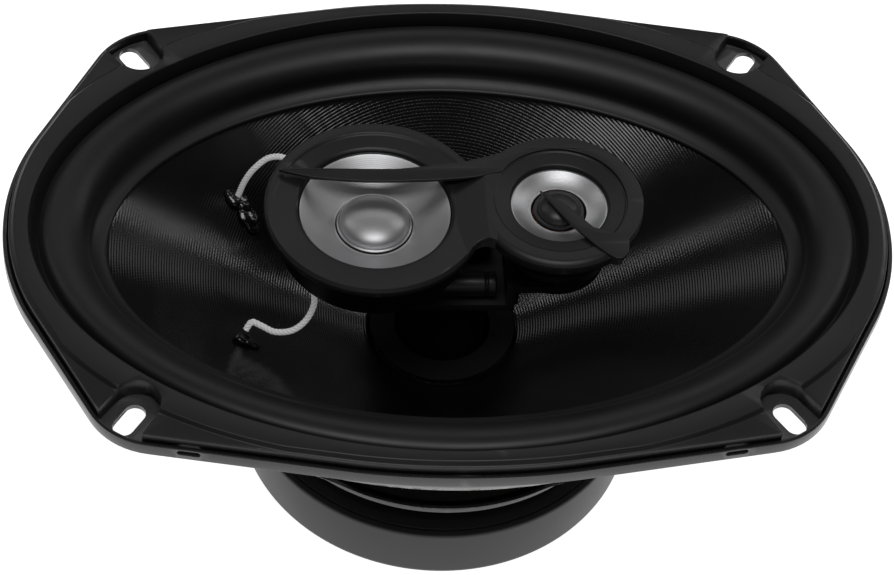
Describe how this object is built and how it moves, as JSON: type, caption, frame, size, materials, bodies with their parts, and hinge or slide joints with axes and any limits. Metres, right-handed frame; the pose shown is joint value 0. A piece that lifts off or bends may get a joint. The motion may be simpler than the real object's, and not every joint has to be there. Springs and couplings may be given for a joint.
{
  "type": "coaxial car speaker",
  "caption": "Oval coaxial car speaker: rubber-edged woofer cone, bridged mid driver and tweeter pod with swept trim, stamped frame and covered magnet.",
  "frame": {"origin": "centre of the rear face of the cover over the magnet, on the axis of the woofer", "axes": "+X along the long axis of the oval, towards the tweeter; +Y along the short axis; +Z forward, out of the front of the speaker"},
  "size_m": [0.2368, 0.1646, 0.0977],
  "materials": {
    "frame_paint": "satin black powder coat",
    "trim_plastic": "fine moulded grain, satin black",
    "gasket_plastic": "satin black moulding",
    "surround_rubber": "smooth semi-matt rubber",
    "boot_rubber": "smooth satin cover",
    "cone_film": "black cone with fine concentric grooves",
    "silver_film": "silver metallised film, satin",
    "satin_metal": "satin silver dome",
    "plated_steel": "zinc plated",
    "black_steel": "black oxide",
    "ferrite": "sintered grey-black",
    "coil_foil": "foil former",
    "copper": "enamelled copper winding",
    "spider_cloth": "resin-dipped corrugated weave",
    "felt": "black felt",
    "dome_silk": "dark coated dome",
    "braid": "braided tinsel wire",
    "sealant": "glossy black sealant",
    "fibre_board": "brown fibre board",
    "tinned_brass": "tin plated",
    "capacitor_sleeve": "dark shrink sleeve"
  },
  "bodies": {
    "frame_body": {"basket": "frame_paint", "gasket": "gasket_plastic", "surround": "surround_rubber", "spider": "spider_cloth", "top_plate": "plated_steel", "magnet": "ferrite", "yoke": "plated_steel", "magnet_boot": "boot_rubber", "centre_post": "trim_plastic", "post_bolt": "black_steel", "pod_bracket": "trim_plastic", "pod_bezel": "trim_plastic", "swoosh_trim": "trim_plastic", "mid_housing": "trim_plastic", "mid_pot": "plated_steel", "mid_magnet": "ferrite", "mid_pole_cap": "plated_steel", "mid_surround": "surround_rubber", "mid_screw": "black_steel", "tweeter_housing": "trim_plastic", "tweeter_flare": "silver_film", "tweeter_pot": "plated_steel", "tweeter_magnet": "ferrite", "tweeter_pole_cap": "plated_steel", "tweeter_screw": "black_steel", "tweeter_capacitor": "capacitor_sleeve", "mid_capacitor": "capacitor_sleeve", "terminal_board": "fibre_board", "positive_tab": "tinned_brass", "negative_tab": "tinned_brass", "positive_tab_rivet": "tinned_brass", "negative_tab_rivet": "tinned_brass", "pod_lead_back": "braid", "pod_lead_front": "braid", "input_lead_positive": "braid", "input_lead_negative": "braid", "frame_rivet_1": "plated_steel", "frame_rivet_2": "plated_steel", "frame_rivet_3": "plated_steel", "frame_rivet_4": "plated_steel"},
    "cone_body": {"cone": "cone_film", "dust_collar": "felt", "voice_coil_former": "coil_foil", "voice_coil_winding": "copper", "lead_joint_back": "sealant", "lead_joint_front": "sealant"},
    "mid_body": {"mid_cone": "silver_film", "mid_dust_cap": "satin_metal", "mid_voice_coil": "copper"},
    "tweeter_body": {"tweeter_dome": "dome_silk", "tweeter_voice_coil": "copper"}
  },
  "joints": [
    {"name": "cone_stroke", "type": "slide", "parent": "frame_body", "child": "cone_body", "axis": [0, 0, 1], "range_m": [-0.004, 0.004], "stiffness_N_per_m": 1000, "deforming": ["surround", "spider", "pod_lead_back", "pod_lead_front", "input_lead_positive", "input_lead_negative"]},
    {"name": "mid_stroke", "type": "slide", "parent": "frame_body", "child": "mid_body", "axis": [0, 0, 1], "range_m": [-0.0008, 0.0008], "stiffness_N_per_m": 300, "deforming": ["mid_surround"]},
    {"name": "tweeter_stroke", "type": "slide", "parent": "frame_body", "child": "tweeter_body", "axis": [0, 0, 1], "range_m": [-0.0003, 0.0003], "stiffness_N_per_m": 80}
  ]
}
